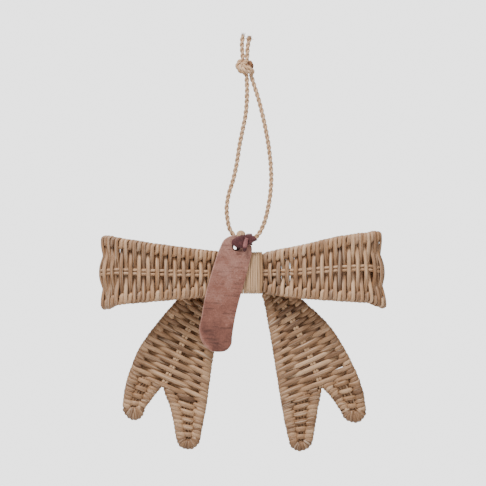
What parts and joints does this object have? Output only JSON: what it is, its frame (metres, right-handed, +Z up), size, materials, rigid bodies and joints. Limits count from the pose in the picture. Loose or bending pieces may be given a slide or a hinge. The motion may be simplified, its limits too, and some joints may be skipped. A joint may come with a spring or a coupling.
{
  "type": "woven rattan bow ornament",
  "caption": "Hanging bow woven from rattan, with two loops, two forked tails, a leather tag and a loop of jute twine.",
  "frame": {"origin": "inside the top of the twine loop, just under the knot, where a nail or hook holds the ornament", "axes": "+X to the right across the bow as seen from the front, +Y from the front to the back, +Z up"},
  "size_m": [0.2423, 0.0314, 0.355],
  "materials": {
    "rattan": "natural round rattan core, dry and matt",
    "tail_rattan": "natural round rattan core, warmer brown",
    "peeled_rattan": "flat peeled rattan with fine grain",
    "tag_leather": "worn matt leather with fine creases",
    "thong_leather": "dark thin leather strap",
    "jute": "twisted jute fibres"
  },
  "bodies": {
    "root": {"bow_body": "rattan", "centre_wrap": "peeled_rattan", "hanging_eye": "peeled_rattan", "left_tail": "tail_rattan", "right_tail": "tail_rattan", "leather_tag": "tag_leather", "tag_thong": "thong_leather", "twine_loop": "jute", "twine_knot": "jute"}
  },
  "joints": []
}
